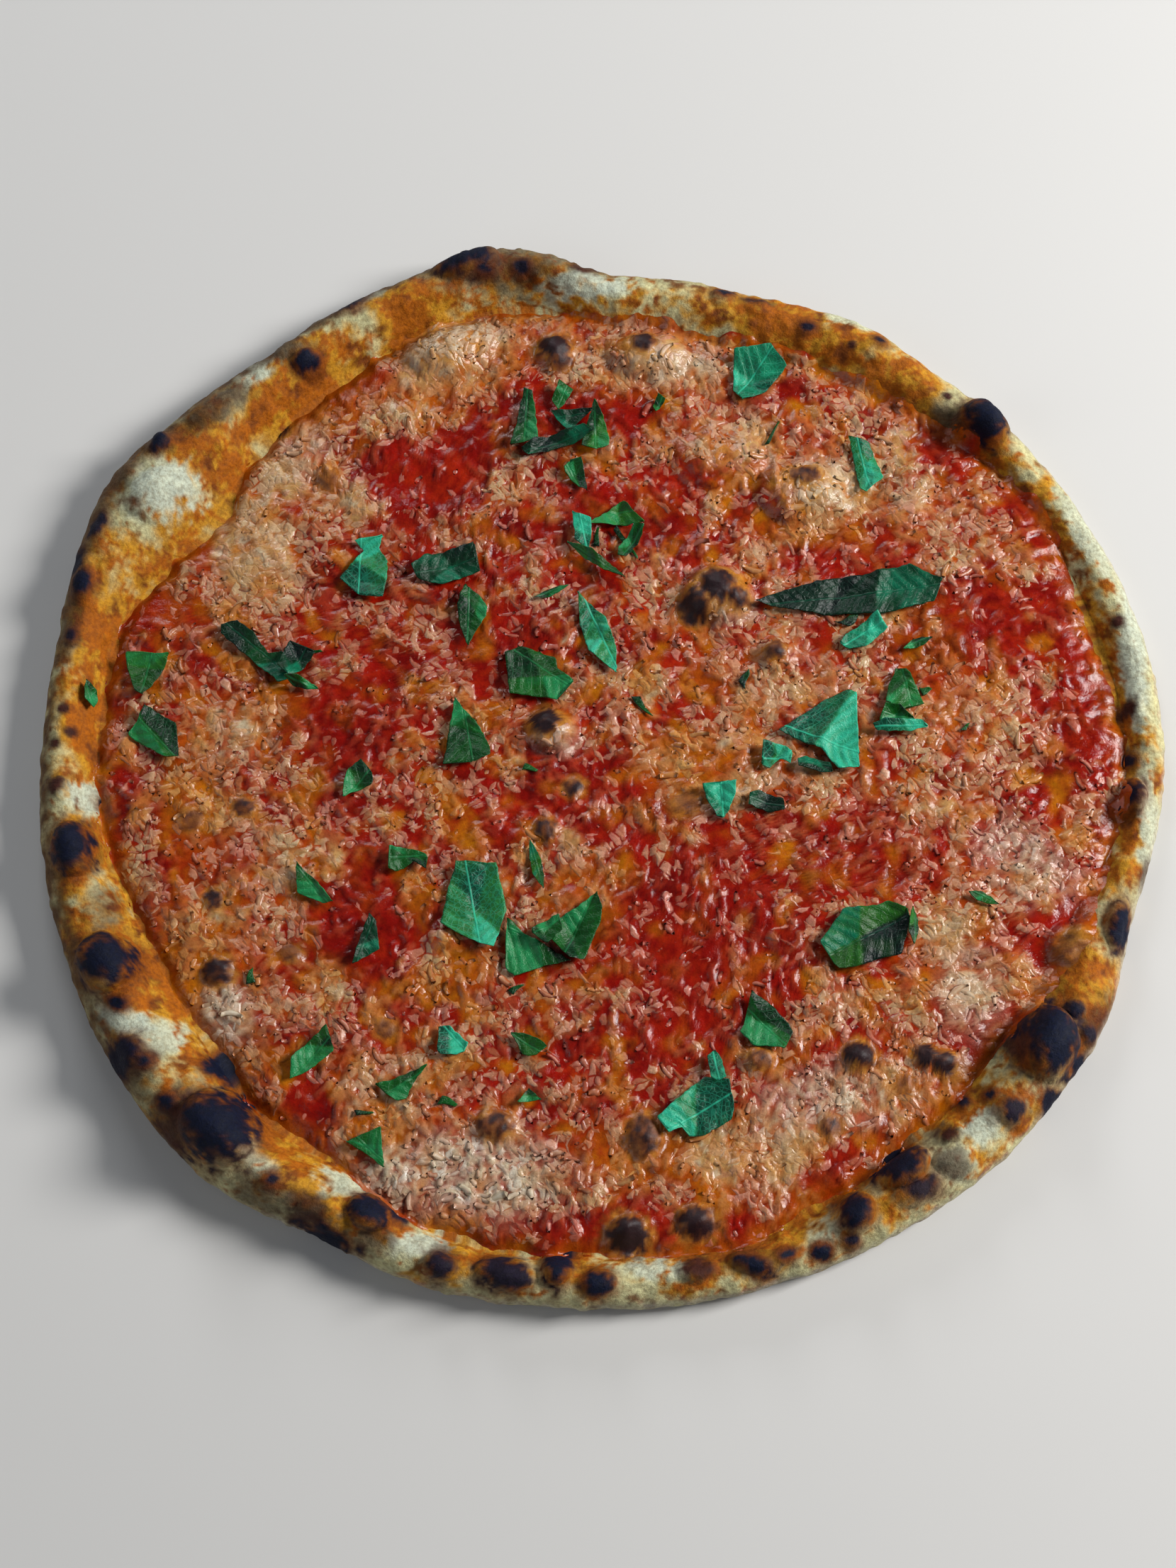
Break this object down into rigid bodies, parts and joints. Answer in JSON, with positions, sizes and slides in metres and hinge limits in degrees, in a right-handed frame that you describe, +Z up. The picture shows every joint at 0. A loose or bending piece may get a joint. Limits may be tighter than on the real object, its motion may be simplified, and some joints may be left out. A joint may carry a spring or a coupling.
{
  "type": "vegan pizza",
  "caption": "Round baked pizza with a puffed, charred rim, tomato sauce, melted shredded vegan cheese and torn basil leaves.",
  "frame": {"origin": "middle of the flat underside", "axes": "+Z up, +Y towards the far side of the pizza as the picture shows it"},
  "size_m": [0.33, 0.3265, 0.0236],
  "materials": {
    "baked_dough": "dry baked dough, cream to golden, with black char blisters and flour dust",
    "sauce_and_cheese": "glossy red tomato sauce under half-melted pale cheese shreds",
    "basil_dark": "wilted basil, dark green, slightly waxy",
    "basil_green": "fresh basil, mid green, slightly waxy",
    "basil_pale": "underside of basil, pale grey-green and matt, with veins"
  },
  "bodies": {
    "root": {"crust": "baked_dough", "topping": "sauce_and_cheese", "basil_01": "basil_green", "basil_02": "basil_green", "basil_03": "basil_dark", "basil_04": "basil_green", "basil_05": "basil_dark", "basil_06": "basil_green", "basil_07": "basil_green", "basil_08": "basil_pale", "basil_09": "basil_pale", "basil_10": "basil_green", "basil_11": "basil_pale", "basil_12": "basil_dark", "basil_13": "basil_green", "basil_14": "basil_pale", "basil_15": "basil_dark", "basil_16": "basil_green", "basil_17": "basil_pale", "basil_18": "basil_green", "basil_19": "basil_green", "basil_20": "basil_green", "basil_21": "basil_pale", "basil_22": "basil_dark", "basil_23": "basil_pale", "basil_24": "basil_dark", "basil_25": "basil_pale", "basil_26": "basil_green", "basil_27": "basil_green", "basil_28": "basil_pale", "basil_29": "basil_dark", "basil_30": "basil_pale", "basil_31": "basil_green", "basil_32": "basil_dark", "basil_33": "basil_dark", "basil_34": "basil_green", "basil_35": "basil_green", "basil_36": "basil_green", "basil_37": "basil_green", "basil_38": "basil_green", "basil_39": "basil_green", "basil_40": "basil_green", "basil_41": "basil_dark", "basil_42": "basil_pale", "basil_43": "basil_green", "basil_44": "basil_green", "basil_45": "basil_green", "basil_46": "basil_dark", "basil_47": "basil_green", "basil_48": "basil_pale", "basil_49": "basil_green", "basil_50": "basil_green", "basil_51": "basil_green", "basil_52": "basil_green", "basil_53": "basil_pale", "basil_54": "basil_green", "basil_55": "basil_dark", "basil_56": "basil_green", "basil_57": "basil_green", "basil_58": "basil_pale"}
  },
  "joints": []
}
